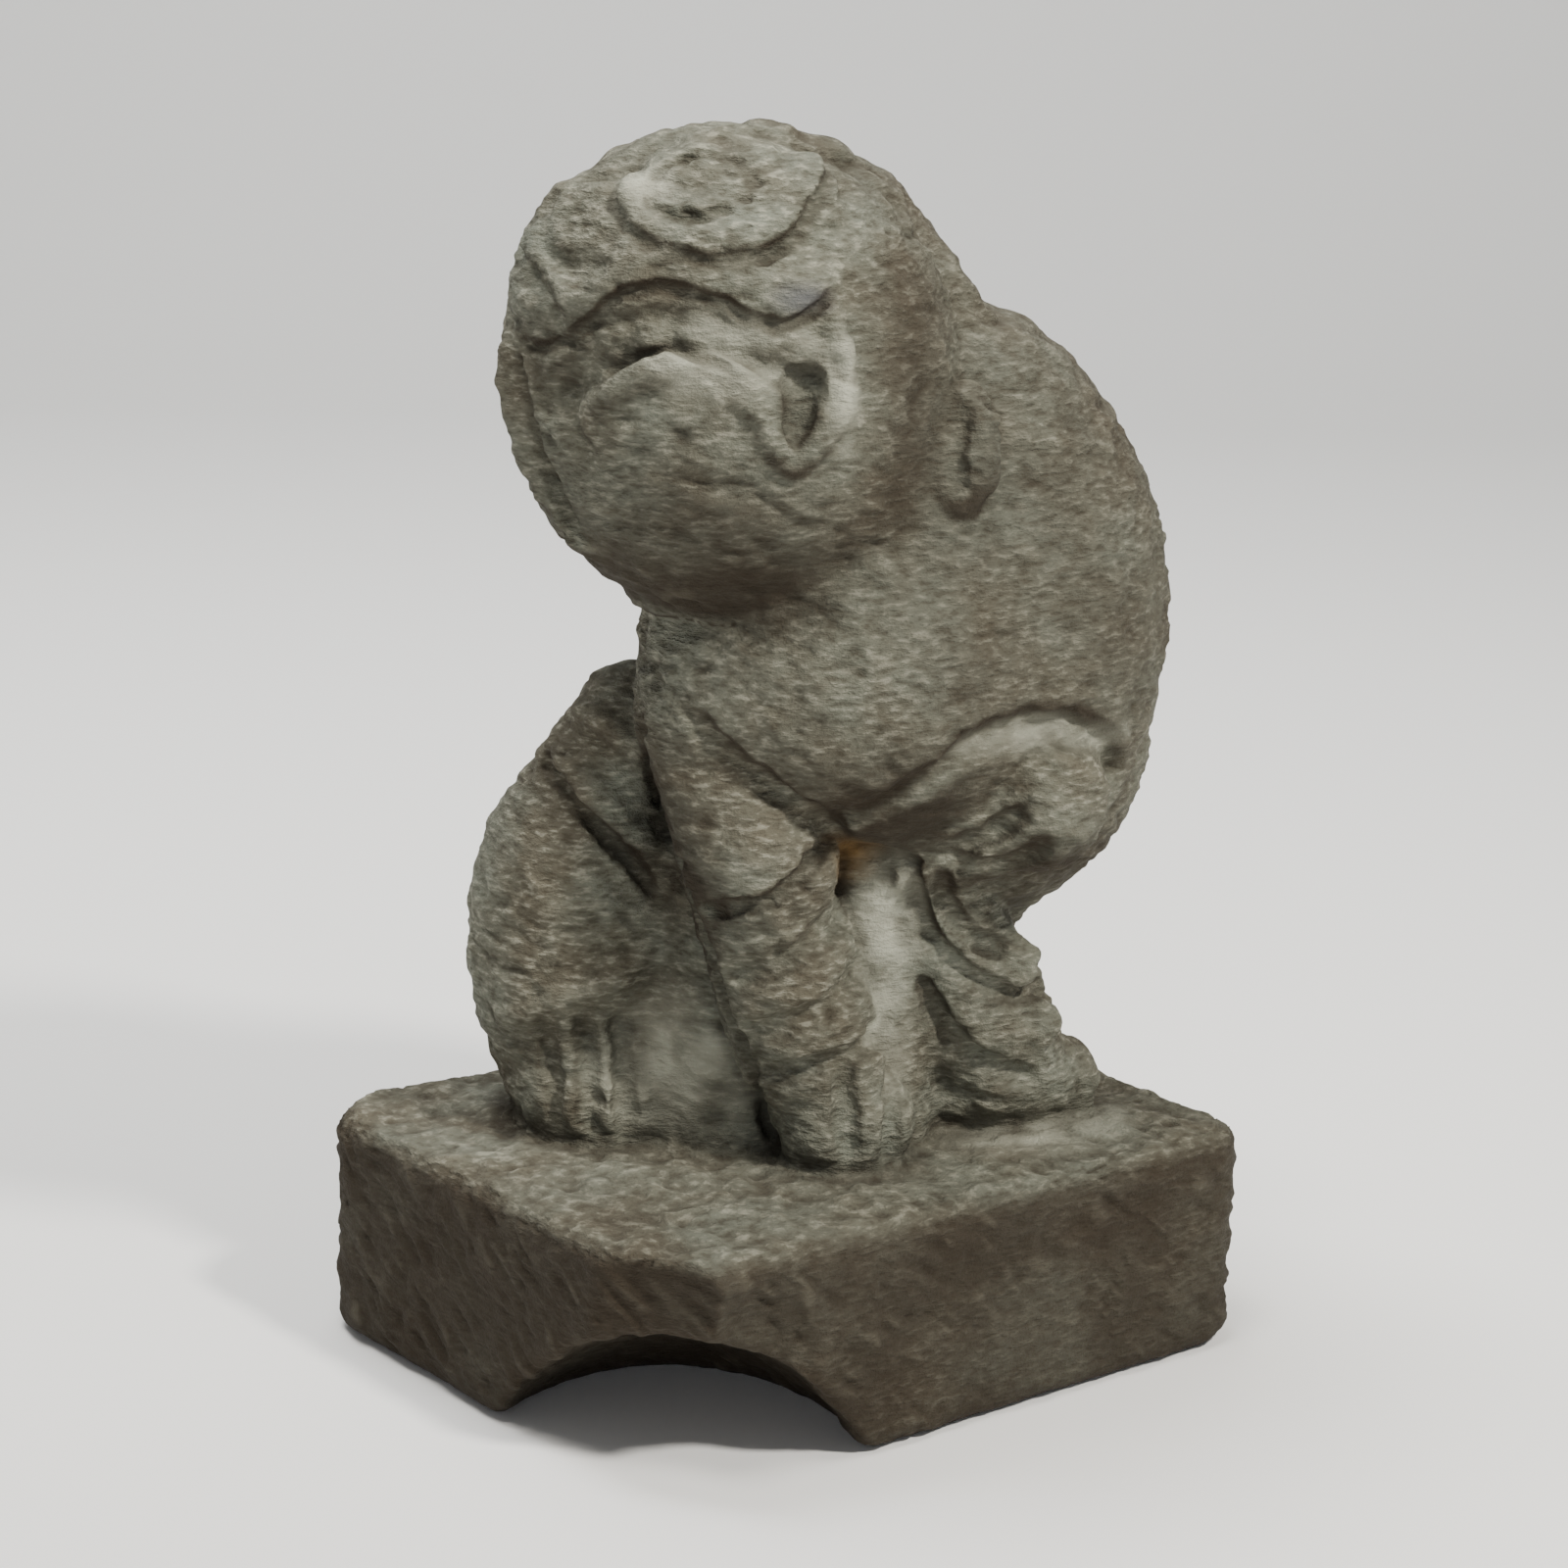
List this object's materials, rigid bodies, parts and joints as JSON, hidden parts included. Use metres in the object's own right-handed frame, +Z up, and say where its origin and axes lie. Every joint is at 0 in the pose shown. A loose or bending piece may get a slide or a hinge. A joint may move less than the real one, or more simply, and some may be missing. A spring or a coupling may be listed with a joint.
{
  "type": "stone beast carving",
  "caption": "Squatting guardian beast with a big round head turned aside, carved with its thick slab from one block of weathered coarse stone.",
  "frame": {"origin": "on the ground plane under the middle of the slab", "axes": "+Z up; the beast's body faces -X, along the slab's longer side, and its head is turned to its left, towards -X and -Y"},
  "size_m": [0.3454, 0.284, 0.5675],
  "materials": {
    "weathered_stone": "coarse tooled grey-green stone, weathered matt, with brown dirt in its hollows and pale worn ridges"
  },
  "bodies": {
    "root": {"carved_beast_and_slab": "weathered_stone"}
  },
  "joints": []
}
